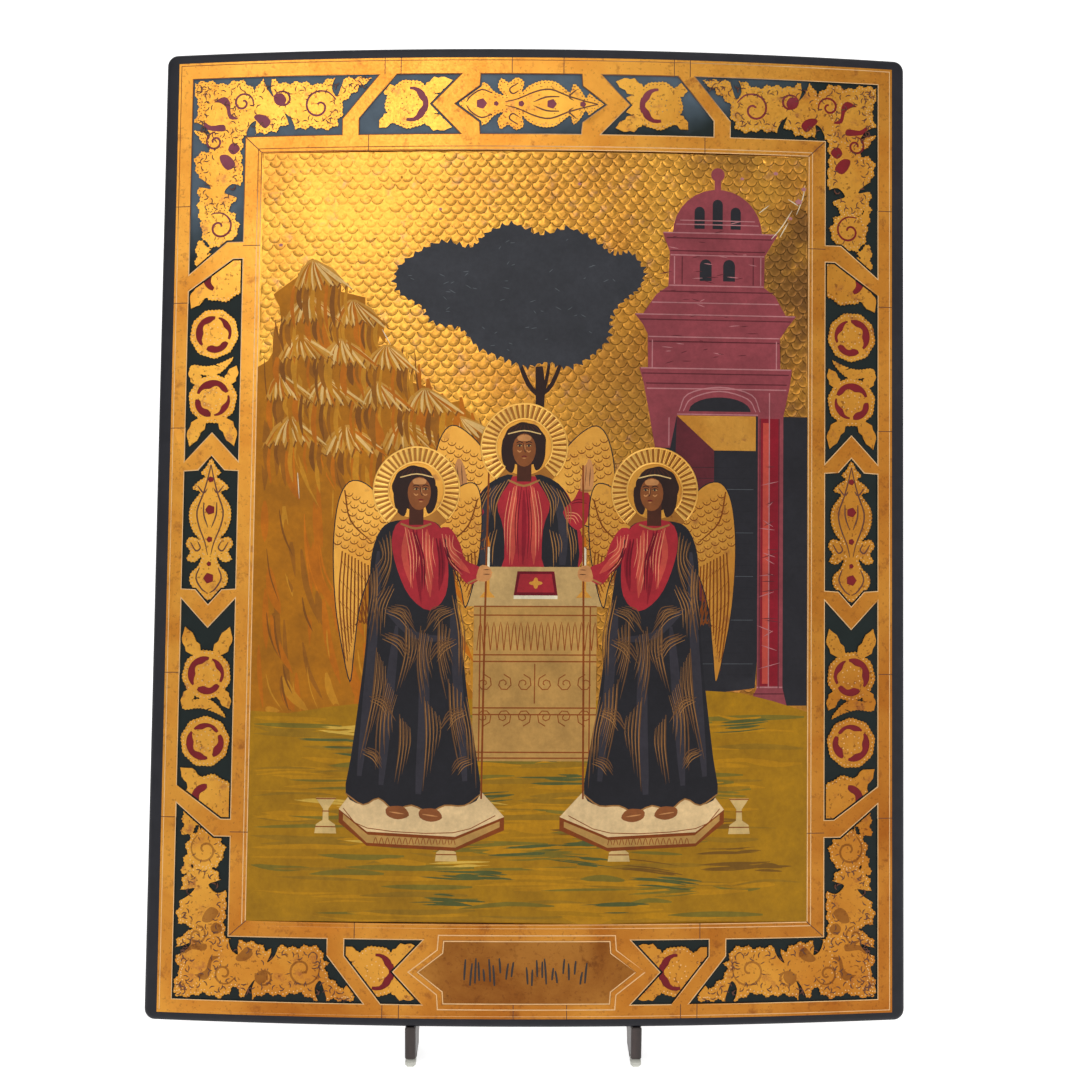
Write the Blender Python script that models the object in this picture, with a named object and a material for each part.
# Painted and gilded icon on a bowed wooden board, leaning on a small dark wooden easel.
# Metres, +Z up. The painted side faces -Y and the viewer's right is +X.
import math
import bmesh
import bpy
from mathutils import Vector
from mathutils.geometry import delaunay_2d_cdt

mm = 0.001

# Board
board_width = 350 * mm  # along the bow
board_height = 448 * mm
board_thickness = 26 * mm
bow_depth = 12.5 * mm  # how far the middle stands in front of the two sides
bow_strips = 14  # flat strips that the bow is made of
side_lean = 2.9 * mm  # the top edge sits this far to the right: the board is not quite square
top_rise = 1.7 * mm  # the top edge climbs this far from left to right
corner_radius = 5 * mm
arris = 2.5 * mm  # rounding of the front edges
arris_steps = 2
back_chamfer = 1.0 * mm

# Gilded border, each width measured from the edge of the board inwards
margin_side = 6.5 * mm  # black painted edge
margin_top = 4.8 * mm
margin_bottom = 4.0 * mm
outer_strip_side = 7.0 * mm
outer_strip_top = 7.7 * mm
outer_strip_bottom = 6.2 * mm
band_side = 25.5 * mm  # carved band of leaves and rosettes
band_top = 28.1 * mm
band_bottom = 28.6 * mm
carving_depth = 0.6 * mm  # the dark ground lies this far under the gold
strap_lap = 8.0 * mm  # width of the straps that divide the band
strap_foot = 7.5 * mm  # length of the square stub where a strap leaves the inner strip
corner_arm_top = 88 * mm  # length of a corner field along the top and bottom
corner_arm_upper = 92.5 * mm  # and down the sides
corner_arm_lower = 88.5 * mm
cartouche_top = 46 * mm  # half lengths of the pointed middle fields, over their straps
cartouche_bottom = 60.5 * mm
cartouche_side = 45.2 * mm
cartouche_shift_top = -2.8 * mm
cartouche_point = 13.5 * mm  # length of a pointed end
rosette_radius = 11.6 * mm
rosette_pitch = 30.5 * mm
halo_radius = 19.5 * mm
halo_width = 6.5 * mm
halo_rise = 0.4 * mm
halo_places = ((-53 * mm, 242 * mm), (-4 * mm, 262 * mm), (56 * mm, 242 * mm))

# Battens let into the back
batten_width = 34 * mm  # at its wider end, on the back surface
batten_taper = 5 * mm  # narrower at the other end
batten_depth = 8 * mm
batten_undercut = 2.5 * mm  # dovetail, each side
batten_stop = 28 * mm  # slot ends this far from the far edge
batten_inset = 92 * mm  # centre of a batten from the top or bottom edge

# Easel
lean = math.radians(9.5)
ledge_height = 19.5 * mm  # front lower edge of the board above the table
stand_spacing = 101.8 * mm  # between the middles of the two side frames
stand_shift = -2.5 * mm  # the icon is set a little off the middle of the easel
stick_thickness = 4.8 * mm
foot_front = 1.4 * mm  # foot behind the foremost line of the board
foot_depth = 24 * mm
foot_lift = 0.9 * mm  # foot clear of the table behind its tip
neck = 9 * mm  # wood under the inner corner of the ledge
upright_width = 13 * mm
upright_top = 236 * mm  # along the board's back
leg_width = 12 * mm
leg_reach = 150 * mm  # back of the rear feet behind the foremost line of the board
tie_width = 10 * mm
tie_height = 46 * mm
dowel_radius = 4 * mm
dowel_sides = 20
upper_dowel_place = 196 * mm  # along the board's back
lower_dowel_place = 74 * mm  # height on the rear legs
tip_height = 3.6 * mm
tip_depth = 7 * mm
tip_round = 1.1 * mm
stick_round = 0.6 * mm
gap = 0.3 * mm  # between pieces that touch

bow_radius = board_width ** 2 / (8 * bow_depth)


# Materials
def material(name, colour, roughness, metallic=0.0):
    made = bpy.data.materials.new(name)
    made.use_nodes = True
    shader = made.node_tree.nodes["Principled BSDF"]
    shader.inputs["Base Color"].default_value = (*colour, 1.0)
    shader.inputs["Roughness"].default_value = roughness
    shader.inputs["Metallic"].default_value = metallic
    return made


# Placing: from the flat board to the bowed and leaning one
def arc_point(station, depth):
    angle = station / bow_radius
    across = (bow_radius - depth) * math.sin(angle)
    back = bow_radius - (bow_radius - depth) * math.cos(angle)
    return across, back


def bent(across, depth, up):
    """Across, depth behind the front and height on the flat board, turned into across, back and height."""
    skewed = across + side_lean * (up - board_height / 2) / board_height
    raised = up + top_rise * (across / board_width) * (up / board_height)
    strip = board_width / bow_strips
    first = math.floor(skewed / strip)
    share = skewed / strip - first
    near = arc_point(first * strip, depth)
    far = arc_point((first + 1) * strip, depth)
    x = near[0] + (far[0] - near[0]) * share
    back = near[1] + (far[1] - near[1]) * share
    return x, back, raised


def leaned(back, up):
    """Depth and height in the leaning board's own directions, turned into Y and Z."""
    y = back * math.cos(lean) + up * math.sin(lean)
    z = ledge_height + up * math.cos(lean) - back * math.sin(lean)
    return y, z


def back_of_board(x):
    return arc_point(x, board_thickness)[1]


# Outlines of the ornament, each a closed loop of points on the board
def lobed(centre, radius, lobes, depth, stretch=1.0, turn=0.0):
    """A scalloped round; with no depth it is a plain circle."""
    loop = []
    steps = lobes * 3
    for i in range(steps):
        angle = 2 * math.pi * i / steps
        r = radius * (1 - depth * (0.5 - 0.5 * math.cos(lobes * angle)))
        x = r * math.cos(angle + turn) * stretch
        z = r * math.sin(angle + turn)
        loop.append((centre[0] + x, centre[1] + z))
    return loop


def leaf(root, tip, width, curl=0.0, teeth=3):
    """A pointed leaf with toothed sides, its spine bowed sideways by a share of its length."""
    root = Vector(root)
    along = Vector(tip) - root
    side = Vector((-along.y, along.x))
    left = []
    right = []
    steps = teeth * 2 + 2
    for i in range(steps + 1):
        t = i / steps
        spine = root + along * t + side * (curl * math.sin(math.pi * t))
        half = 0.5 * width * math.sin(math.pi * min(1.0, 0.14 + 0.86 * t)) ** 0.8
        half *= 1.0 if i % 2 else 0.78
        normal = side.normalized() * half
        left.append(spine + normal)
        right.append(spine - normal)
    tip_point = root + along
    return [tuple(p) for p in left[:-1]] + [tuple(tip_point)] + [tuple(p) for p in reversed(right[:-1])]


def fish_tail(centre, length, spread, heading):
    """A rosette's pair of pointed leaves, that opens towards a strap's point."""
    out = Vector((math.cos(heading), math.sin(heading)))
    side = Vector((-out.y, out.x))
    centre = Vector(centre)
    made = []
    for sign in (-1, 1):
        tip = centre + out * length + side * spread * sign
        root = centre + side * spread * 0.35 * sign
        made.append(leaf(tuple(root), tuple(tip), spread * 0.75, 0.08 * sign, 2))
    return made


# Fields of the border
def mirrored(loop, centre=0.0):
    return [(2 * centre - x, z) for x, z in loop]


side_outer = board_width / 2 - margin_side - outer_strip_side
side_inner = side_outer - band_side
top_outer = board_height - margin_top - outer_strip_top
top_inner = top_outer - band_top
bottom_outer = margin_bottom + outer_strip_bottom
bottom_inner = bottom_outer + band_bottom
side_middle = (side_outer + side_inner) / 2
top_middle = (top_outer + top_inner) / 2
bottom_middle = (bottom_outer + bottom_inner) / 2
column_middle = (top_outer + bottom_outer) / 2 + 1 * mm
slant_top = (band_top - strap_foot) * 0.82  # run of a strap along the top or bottom band
slant_side = (band_side - strap_foot) * 0.83


def column_arm(up):
    return corner_arm_upper if up > 0 else corner_arm_lower


def corner_field(outer_z, inner_z):
    """L-shaped field of the right half, its two ends cut off by slanting straps."""
    up = 1 if outer_z > inner_z else -1
    row_end = side_outer - corner_arm_top
    column_end = outer_z - up * column_arm(up)
    return [
        (row_end, outer_z),
        (side_outer, outer_z),
        (side_outer, column_end),
        (side_inner + strap_foot, column_end + up * slant_side),
        (side_inner, column_end + up * slant_side),
        (side_inner, inner_z),
        (row_end + slant_top, inner_z),
        (row_end + slant_top, inner_z + up * strap_foot),
    ]


def row_rosette_field(outer_z, inner_z, half, shift):
    """Field between a corner's strap and the pointed middle field of the top or bottom row."""
    up = 1 if outer_z > inner_z else -1
    row_end = side_outer - corner_arm_top - strap_lap
    middle = (outer_z + inner_z) / 2
    return [
        (row_end, outer_z),
        (row_end + slant_top, inner_z + up * strap_foot),
        (row_end + slant_top, inner_z),
        (shift + half - cartouche_point, inner_z),
        (shift + half, middle),
        (shift + half - cartouche_point, outer_z),
    ]


def column_rosette_field(outer_z, half):
    """Field between a corner's strap and the pointed middle field of a side."""
    up = 1 if outer_z > column_middle else -1
    column_end = outer_z - up * (column_arm(up) + strap_lap)
    return [
        (side_outer, column_end),
        (side_inner + strap_foot * 0.6, column_end + up * slant_side),
        (side_inner, column_end + up * slant_side),
        (side_inner, column_middle + up * (half - cartouche_point)),
        (side_middle, column_middle + up * half),
        (side_outer, column_middle + up * (half - cartouche_point)),
    ]


def row_cartouche(middle_z, band, half, shift):
    """Pointed field of the top or bottom row, with a square shoulder behind each point."""
    inner = half - strap_lap * 1.35
    shoulder = inner - cartouche_point * 0.85
    tall = band / 2
    low = band / 2 - 5.5 * mm
    quarter = [(inner, 0), (shoulder, low), (shoulder, tall)]
    loop = quarter + [(-x, z) for x, z in reversed(quarter)]
    loop += [(-x, -z) for x, z in quarter[1:]] + [(x, -z) for x, z in reversed(quarter[1:])]
    return [(shift + x, middle_z + z) for x, z in loop]


def column_cartouche(half):
    inner = half - strap_lap * 1.35
    shoulder = inner - cartouche_point * 0.85
    wide = band_side / 2
    narrow = band_side / 2 - 6.5 * mm
    quarter = [(0, inner), (narrow, shoulder + 4.6 * mm), (wide, shoulder)]
    loop = quarter + [(x, -z) for x, z in reversed(quarter)]
    loop += [(-x, -z) for x, z in quarter[1:]] + [(-x, z) for x, z in reversed(quarter[1:])]
    return [(side_middle + x, column_middle + z) for x, z in loop]


def corner_carving(outer_z, up):
    """Leaf scrolls of one corner: a lobed heart, then a wave of lobes and leaves along each arm."""
    corner = Vector((side_outer, outer_z))
    made = []

    def place(along, across, on_row):
        if on_row:
            return (corner.x - along, corner.y - up * across)
        return (corner.x - across, corner.y - up * along)

    made.append(lobed(place(14 * mm, 13.5 * mm, True), 13 * mm, 7, 0.24))
    for on_row in (True, False):
        arm = corner_arm_top if on_row else column_arm(up)
        band = band_top if on_row else band_side
        made.append(lobed(place(0.36 * arm, 0.50 * band, on_row), 10.6 * mm, 6, 0.26, turn=0.4))
        made.append(lobed(place(0.64 * arm, 0.49 * band, on_row), 12.2 * mm, 9, 0.16))
        root = place(0.70 * arm, 0.62 * band, on_row)
        tip = place(0.93 * arm, 0.12 * band, on_row)
        made.append(leaf(root, tip, 8.5 * mm, 0.10, 3))
        root = place(0.24 * arm, 0.30 * band, on_row)
        tip = place(0.50 * arm, 0.14 * band, on_row)
        made.append(leaf(root, tip, 7.5 * mm, 0.0, 3))
        root = place(0.42 * arm, 0.70 * band, on_row)
        tip = place(0.60 * arm, 0.90 * band, on_row)
        made.append(leaf(root, tip, 7 * mm, 0.05, 2))
    return made


def column_carving(outer_z, up):
    """Rosettes of a side, then leaves that fork round the strap's point."""
    made = []
    last = outer_z - up * (column_arm(up) + strap_lap + 20 * mm)
    made.append(lobed((side_inner + 8 * mm, last + up * 25 * mm), 9 * mm, 6, 0.2, turn=0.3))
    made.append(leaf((side_inner + 9 * mm, last + up * 22 * mm), (side_outer - 2 * mm, last + up * 14 * mm), 7 * mm))
    for count in range(2):
        place = (side_middle, last - up * count * rosette_pitch)
        made.append(lobed(place, rosette_radius, 8, 0.14, 1.02))
        root = (side_middle, place[1] + up * rosette_radius * 0.7)
        made.append(leaf(root, (side_middle - 9 * mm, place[1] + up * 17 * mm), 7 * mm, 0.1, 2))
        made.append(leaf(root, (side_middle + 9 * mm, place[1] + up * 16 * mm), 6 * mm, 0.1, 2))
    made += fish_tail((side_middle, last - up * rosette_pitch), 19 * mm, 9.5 * mm, -up * math.pi / 2)
    return made


def row_carving(middle_z, centre_x):
    made = [lobed((centre_x, middle_z), rosette_radius, 8, 0.14)]
    made += fish_tail((centre_x, middle_z), 19 * mm, 9.5 * mm, math.pi)
    made.append(leaf((centre_x + 6 * mm, middle_z + 6 * mm), (centre_x + 17 * mm, middle_z + 1 * mm), 7 * mm))
    return made


def palmette(centre, reach, half_width, upright):
    """Symmetrical leaf knot of a pointed field: a drop, two lobed ends and four side leaves."""
    parts = [
        leaf((-reach * 0.42, 0.0), (reach * 0.56, 0.0), half_width * 1.5, 0.0, 3),
        lobed((reach * 0.78, 0.0), half_width * 0.40, 5, 0.22, 1.4),
        lobed((-reach * 0.70, 0.0), half_width * 0.46, 6, 0.22, 1.35),
    ]
    for sx in (-1, 1):
        for sz in (-1, 1):
            root = (sx * reach * 0.26, sz * half_width * 0.1)
            tip = (sx * reach * 0.70, sz * half_width * 0.84)
            parts.append(leaf(root, tip, half_width * 0.6, 0.1 * sx * sz, 2))
    placed = []
    for loop in parts:
        if upright:
            placed.append([(centre[0] + z, centre[1] + x) for x, z in loop])
        else:
            placed.append([(centre[0] + x, centre[1] + z) for x, z in loop])
    return placed


def border():
    """The sunk fields and the gold ornament that stands in them, both halves of the board."""
    fields = []
    carving = []
    for outer_z, inner_z, half, shift in (
        (top_outer, top_inner, cartouche_top, cartouche_shift_top),
        (bottom_outer, bottom_inner, cartouche_bottom, 0.0),
    ):
        up = 1 if outer_z > inner_z else -1
        middle = (outer_z + inner_z) / 2
        half_fields = [corner_field(outer_z, inner_z), column_rosette_field(outer_z, cartouche_side)]
        half_carving = corner_carving(outer_z, up) + column_carving(outer_z, up)
        fields += half_fields + [mirrored(loop) for loop in half_fields]
        carving += half_carving + [mirrored(loop) for loop in half_carving]
        strap_end = side_outer - corner_arm_top - strap_lap
        for sign in (1, -1):
            field = row_rosette_field(outer_z, inner_z, half, shift * sign)
            rosette = row_carving(middle, (strap_end + shift * sign + half) / 2 + 3 * mm)
            fields.append(field if sign == 1 else mirrored(field))
            carving += rosette if sign == 1 else [mirrored(loop) for loop in rosette]
    top_field = row_cartouche(top_middle, band_top, cartouche_top, cartouche_shift_top)
    side_field = column_cartouche(cartouche_side)
    fields += [top_field, side_field, mirrored(side_field)]
    carving += palmette((cartouche_shift_top, top_middle), 31 * mm, band_top / 2, False)
    upright = palmette((side_middle, column_middle), 31 * mm, band_side / 2, True)
    carving += upright + [mirrored(loop) for loop in upright]
    return fields, carving


# Board
level_sunk = 1  # marks of the faces that are pressed in or stand out
level_halo = 2


def board_outline(inset):
    """Rounded rectangle, counter-clockwise as the viewer sees it."""
    radius = max(corner_radius - inset, 0.4 * mm)
    left = -board_width / 2 + inset
    right = board_width / 2 - inset
    low = inset
    high = board_height - inset
    loop = []
    steps = 5
    for cx, cz, start in (
        (right - radius, low + radius, -90),
        (right - radius, high - radius, 0),
        (left + radius, high - radius, 90),
        (left + radius, low + radius, 180),
    ):
        for i in range(steps + 1):
            angle = math.radians(start + 90 * i / steps)
            loop.append((cx + radius * math.cos(angle), cz + radius * math.sin(angle)))
    return loop


def inside(point, loop):
    """True where the point lies inside the closed loop."""
    x, z = point
    found = False
    for i, (x0, z0) in enumerate(loop):
        x1, z1 = loop[i - 1]
        if (z0 > z) != (z1 > z) and x < (x1 - x0) * (z - z0) / (z1 - z0) + x0:
            found = not found
    return found


def front_sheet(mesh):
    """The carved front, as one sheet at depth 0: its fields are pressed in and its halos stand out."""
    fields, carving = border()
    halos = [lobed(place, halo_radius, 9, 0.0) for place in halo_places]
    heads = [lobed(place, halo_radius - halo_width, 7, 0.0) for place in halo_places]
    outline = board_outline(arris)
    loops = [outline] + fields + carving + halos + heads
    points = []
    faces = []
    for loop in loops:
        start = len(points)
        points += [Vector(p) for p in loop]
        faces.append(list(range(start, len(points))))
    flat, _, triangles, _, _, _ = delaunay_2d_cdt(points, [], faces, 1, 1e-7)
    verts = [mesh.verts.new((p.x, 0.0, p.y)) for p in flat]
    for triangle in triangles:
        face = mesh.faces.new([verts[i] for i in triangle])
        middle = face.calc_center_median()
        spot = (middle.x, middle.z)
        if any(inside(spot, loop) for loop in fields) and not any(inside(spot, loop) for loop in carving):
            face.material_index = level_sunk
        elif any(inside(spot, loop) for loop in halos) and not any(inside(spot, loop) for loop in heads):
            face.material_index = level_halo
    mesh.normal_update()
    bmesh.ops.dissolve_limit(
        mesh, angle_limit=math.radians(0.2), verts=mesh.verts, edges=mesh.edges, delimit={"MATERIAL"}
    )
    for level, depth in ((level_sunk, carving_depth), (level_halo, -halo_rise)):
        region = [face for face in mesh.faces if face.material_index == level]
        made = bmesh.ops.extrude_face_region(mesh, geom=region)
        moved = [v for v in made["geom"] if isinstance(v, bmesh.types.BMVert)]
        bmesh.ops.translate(mesh, verts=moved, vec=(0, depth, 0))
        bmesh.ops.delete(mesh, geom=region, context="FACES_KEEP_BOUNDARY")
    for face in mesh.faces:
        face.material_index = 0


def flat_board():
    """Board before it is bowed: carved sheet, rounded arris, sides and back."""
    mesh = bmesh.new()
    front_sheet(mesh)
    rings = []
    for i in range(1, arris_steps + 1):
        angle = math.pi / 2 * i / arris_steps
        rings.append((arris * (1 - math.sin(angle)), arris * (1 - math.cos(angle))))
    rings.append((0.0, board_thickness - back_chamfer))
    rings.append((back_chamfer, board_thickness))
    rims = [board_outline(inset) for inset, _ in rings]
    start = board_outline(arris)
    last = []
    for x, z in start:
        near = min(mesh.verts, key=lambda v: (v.co.x - x) ** 2 + v.co.y ** 2 + (v.co.z - z) ** 2)
        last.append(near)
    count = len(start)
    for rim, (_, depth) in zip(rims, rings, strict=True):
        ring = [mesh.verts.new((x, depth, z)) for x, z in rim]
        for i in range(count):
            j = (i + 1) % count
            mesh.faces.new((last[i], ring[i], ring[j], last[j]))
        last = ring
    mesh.faces.new(list(reversed(last)))
    bmesh.ops.recalc_face_normals(mesh, faces=mesh.faces)
    return mesh


def batten_solid(grown, from_left):
    """Tapered dovetail, wider at the edge where it is driven in; grown by a clearance for its slot."""
    sign = 1 if from_left else -1
    centre_z = board_height - batten_inset if from_left else batten_inset
    entry = -sign * (board_width / 2 + (5 * mm if grown else -back_chamfer))
    stop = sign * (board_width / 2 - batten_stop + grown)
    floor = board_thickness - batten_depth - grown
    mesh = bmesh.new()
    ends = []
    for x, half in ((entry, batten_width / 2), (stop, (batten_width - batten_taper) / 2)):
        half += grown
        back = board_thickness + (2 * mm if grown else 0.0)
        over = batten_undercut * (back - floor) / batten_depth
        ring = [
            mesh.verts.new((x, floor, centre_z - half - batten_undercut)),
            mesh.verts.new((x, floor, centre_z + half + batten_undercut)),
            mesh.verts.new((x, back, centre_z + half + batten_undercut - over)),
            mesh.verts.new((x, back, centre_z - half - batten_undercut + over)),
        ]
        ends.append(ring)
    mesh.faces.new(ends[0])
    mesh.faces.new(list(reversed(ends[1])))
    for i in range(4):
        j = (i + 1) % 4
        mesh.faces.new((ends[0][i], ends[1][i], ends[1][j], ends[0][j]))
    bmesh.ops.recalc_face_normals(mesh, faces=mesh.faces)
    return mesh


def bow(mesh):
    """Cut the flat piece at the strips' joints, then bend, skew and lean it."""
    strip = board_width / bow_strips
    for i in range(-bow_strips // 2, bow_strips // 2 + 1):
        middle = Vector((i * strip, 0, board_height / 2))
        normal = Vector((1, 0, side_lean / board_height))
        geometry = list(mesh.verts) + list(mesh.edges) + list(mesh.faces)
        bmesh.ops.bisect_plane(mesh, geom=geometry, dist=1e-7, plane_co=middle, plane_no=normal)
    bmesh.ops.triangulate(mesh, faces=mesh.faces)
    for vert in mesh.verts:
        x, back, up = bent(vert.co.x, vert.co.y, vert.co.z)
        y, z = leaned(back, up)
        vert.co = (x, y, z)


def object_from(mesh, name, look):
    data = bpy.data.meshes.new(name)
    mesh.to_mesh(data)
    mesh.free()
    made = bpy.data.objects.new(name, data)
    made.data.materials.append(look)
    bpy.context.scene.collection.objects.link(made)
    return made


def make_board(look):
    board = object_from(flat_board(), "icon_board", look)
    for from_left in (True, False):
        cutter = object_from(batten_solid(gap, from_left), "slot_cutter", look)
        cutter.hide_render = True
        cutter.display_type = "WIRE"
        cut = board.modifiers.new("slot", "BOOLEAN")
        cut.operation = "DIFFERENCE"
        cut.solver = "EXACT"
        cut.object = cutter
    bpy.context.view_layer.update()
    shape = board.evaluated_get(bpy.context.evaluated_depsgraph_get())
    mesh = bmesh.new()
    mesh.from_mesh(shape.to_mesh())
    shape.to_mesh_clear()
    for cut in list(board.modifiers):
        cutter = cut.object
        board.modifiers.remove(cut)
        bpy.data.objects.remove(cutter, do_unlink=True)
    bow(mesh)
    mesh.to_mesh(board.data)
    mesh.free()
    return board


def make_batten(name, from_left, look):
    mesh = batten_solid(0.0, from_left)
    bow(mesh)
    return object_from(mesh, name, look)


# Easel
def plate(name, outline, x_middle, thickness, look, rounding=stick_round):
    """A flat stick: an outline in Y and Z given a thickness along X, its edges eased."""
    mesh = bmesh.new()
    ring = [mesh.verts.new((x_middle - thickness / 2, y, z)) for y, z in outline]
    face = mesh.faces.new(ring)
    made = bmesh.ops.extrude_face_region(mesh, geom=[face])
    moved = [v for v in made["geom"] if isinstance(v, bmesh.types.BMVert)]
    bmesh.ops.translate(mesh, verts=moved, vec=(thickness, 0, 0))
    bmesh.ops.recalc_face_normals(mesh, faces=mesh.faces)
    stick = object_from(mesh, name, look)
    ease = stick.modifiers.new("eased edges", "BEVEL")
    ease.width = rounding
    ease.segments = 1
    ease.limit_method = "ANGLE"
    ease.angle_limit = math.radians(40)
    return stick


def arc(centre, radius, start, end, steps):
    """Points of a round stretch, angles in degrees from +Y towards +Z."""
    points = []
    for i in range(steps + 1):
        angle = math.radians(start + (end - start) * i / steps)
        points.append((centre[0] + radius * math.cos(angle), centre[1] + radius * math.sin(angle)))
    return points


def upright_outline(x_outer):
    """Foot, ledge and back rest cut from one board, seen from the side."""
    rest = back_of_board(x_outer) + gap
    lean_deg = math.degrees(lean)
    foot_back = foot_front + foot_depth
    ledge_front = leaned(foot_front / math.cos(lean), -gap)
    inner_corner = leaned(rest, -gap)
    top_front = leaned(rest, upright_top - upright_width / 2)
    top_centre = leaned(rest + upright_width / 2, upright_top - upright_width / 2)
    heel = leaned(rest + upright_width, upright_width * 0.6)
    outline = [
        (foot_front, tip_height + gap),
        (foot_front, ledge_front[1]),
        inner_corner,
        top_front,
    ]
    outline += arc(top_centre, upright_width / 2, 180 - lean_deg, -lean_deg, 8)[1:]
    outline.append(heel)
    sole = [
        (inner_corner[0] + neck * 0.9, inner_corner[1] - neck * 0.35),
        (foot_back, inner_corner[1] - neck),
        (foot_back - 1.5 * mm, foot_lift),
        (foot_front + tip_depth + gap, foot_lift),
        (foot_front + tip_depth + gap, tip_height + gap),
    ]
    return outline + sole


def leg_line():
    """Middle of the rear leg: its top end on the upright and its lower end on the table."""
    rest = back_of_board(stand_spacing / 2) + gap
    top = leaned(rest + upright_width / 2, upright_top - upright_width / 2)
    foot = (leg_reach - leg_width / 2, 0.0)
    return Vector(top), Vector(foot)


def leg_point(height):
    top, foot = leg_line()
    share = (height - foot.y) / (top.y - foot.y)
    return foot + (top - foot) * share


def leg_outline():
    top, foot = leg_line()
    along = (foot - top).normalized()
    side = Vector((-along.y, along.x)) * leg_width / 2
    cut = tip_height + gap
    front_foot = leg_point(cut) - Vector((leg_width / 2, 0)) / abs(along.y)
    back_foot = leg_point(cut) + Vector((leg_width / 2, 0)) / abs(along.y)
    turn = math.degrees(math.atan2(side.y, side.x))
    outline = arc(top, leg_width / 2, turn, turn + 180, 8)
    return outline + [tuple(front_foot), tuple(back_foot)]


def block(name, low, high, look, rounding):
    """A small rounded box between two corners."""
    mesh = bmesh.new()
    bmesh.ops.create_cube(mesh, size=1.0)
    size = [high[i] - low[i] for i in range(3)]
    middle = [(high[i] + low[i]) / 2 for i in range(3)]
    bmesh.ops.scale(mesh, vec=size, verts=mesh.verts)
    bmesh.ops.translate(mesh, vec=middle, verts=mesh.verts)
    made = object_from(mesh, name, look)
    ease = made.modifiers.new("rounded", "BEVEL")
    ease.width = rounding
    ease.segments = 1
    return made


def dowel(name, place, half_length, x_middle, look):
    """A round rail along X between the two side frames."""
    mesh = bmesh.new()
    bmesh.ops.create_cone(
        mesh, cap_ends=True, segments=dowel_sides, radius1=dowel_radius, radius2=dowel_radius, depth=2 * half_length
    )
    for vert in mesh.verts:
        vert.co = (vert.co.z + x_middle, vert.co.x + place[0], vert.co.y + place[1])
    bmesh.ops.recalc_face_normals(mesh, faces=mesh.faces)
    made = object_from(mesh, name, look)
    made.data.shade_smooth()
    made.data.set_sharp_from_angle(angle=math.radians(40))
    return made


def make_stand(wood, rubber):
    inner_offset = stick_thickness + gap  # the leg and the tie lie against the upright's inner face
    for side, sign in (("left", -1), ("right", 1)):
        x_upright = stand_shift + sign * stand_spacing / 2
        x_outer = max(abs(x_upright - stick_thickness / 2), abs(x_upright + stick_thickness / 2))
        plate(f"stand_upright_{side}", upright_outline(x_outer), x_upright, stick_thickness, wood)
        x_leg = x_upright - sign * inner_offset
        plate(f"stand_leg_{side}", leg_outline(), x_leg, stick_thickness, wood)
        start = leaned(back_of_board(x_outer) + gap + stick_round, tie_height - ledge_height)
        end = leg_point(tie_height)
        slope = (leg_line()[1] - leg_line()[0]).normalized()
        shift = leg_width / 2 / abs(slope.y) + gap
        run = slope.x / abs(slope.y) * tie_width / 2
        tie = [
            (start[0], tie_height - tie_width / 2),
            (end.x - shift + run, tie_height - tie_width / 2),
            (end.x - shift - run, tie_height + tie_width / 2),
            (start[0] + tie_width * math.tan(lean), tie_height + tie_width / 2),
        ]
        plate(f"stand_tie_{side}", tie, x_leg, stick_thickness, wood)
        half = stick_thickness / 2
        low = (x_upright - half, foot_front, 0.0)
        high = (x_upright + half, foot_front + tip_depth, tip_height)
        block(f"foot_tip_front_{side}", low, high, rubber, tip_round)
        foot = leg_point(tip_height)
        low = (x_leg - half, foot.x - leg_width / 2, 0.0)
        high = (x_leg + half, foot.x + leg_width / 2, tip_height)
        block(f"foot_tip_rear_{side}", low, high, rubber, tip_round)
    between_uprights = (stand_spacing - stick_thickness) / 2 - gap
    between_legs = between_uprights - inner_offset
    rest = back_of_board(stand_spacing / 2) + gap
    upper = leaned(rest + upright_width / 2, upper_dowel_place)
    dowel("stand_dowel_upper", upper, between_uprights, stand_shift, wood)
    dowel("stand_dowel_lower", tuple(leg_point(lower_dowel_place)), between_legs, stand_shift, wood)


def set_down():
    """Stand the whole icon with the middle of its box over the origin and its feet on Z = 0."""
    bpy.context.view_layer.update()
    corners = []
    for item in bpy.context.scene.objects:
        corners += [item.matrix_world @ Vector(corner) for corner in item.bound_box]
    low = [min(corner[i] for corner in corners) for i in range(3)]
    high = [max(corner[i] for corner in corners) for i in range(3)]
    shift = Vector((-(low[0] + high[0]) / 2, -(low[1] + high[1]) / 2, -low[2]))
    for item in bpy.context.scene.objects:
        item.location += shift


def main():
    for old in list(bpy.data.objects):
        bpy.data.objects.remove(old, do_unlink=True)
    painted = material("painted and gilded gesso", (0.62, 0.36, 0.08), 0.4, 0.3)
    bare_wood = material("bare batten wood", (0.42, 0.27, 0.15), 0.7)
    stained = material("dark stained wood", (0.09, 0.055, 0.05), 0.5)
    rubber = material("pale rubber", (0.72, 0.72, 0.66), 0.6)
    make_board(painted)
    make_batten("batten_upper", True, bare_wood)
    make_batten("batten_lower", False, bare_wood)
    make_stand(stained, rubber)
    set_down()


main()
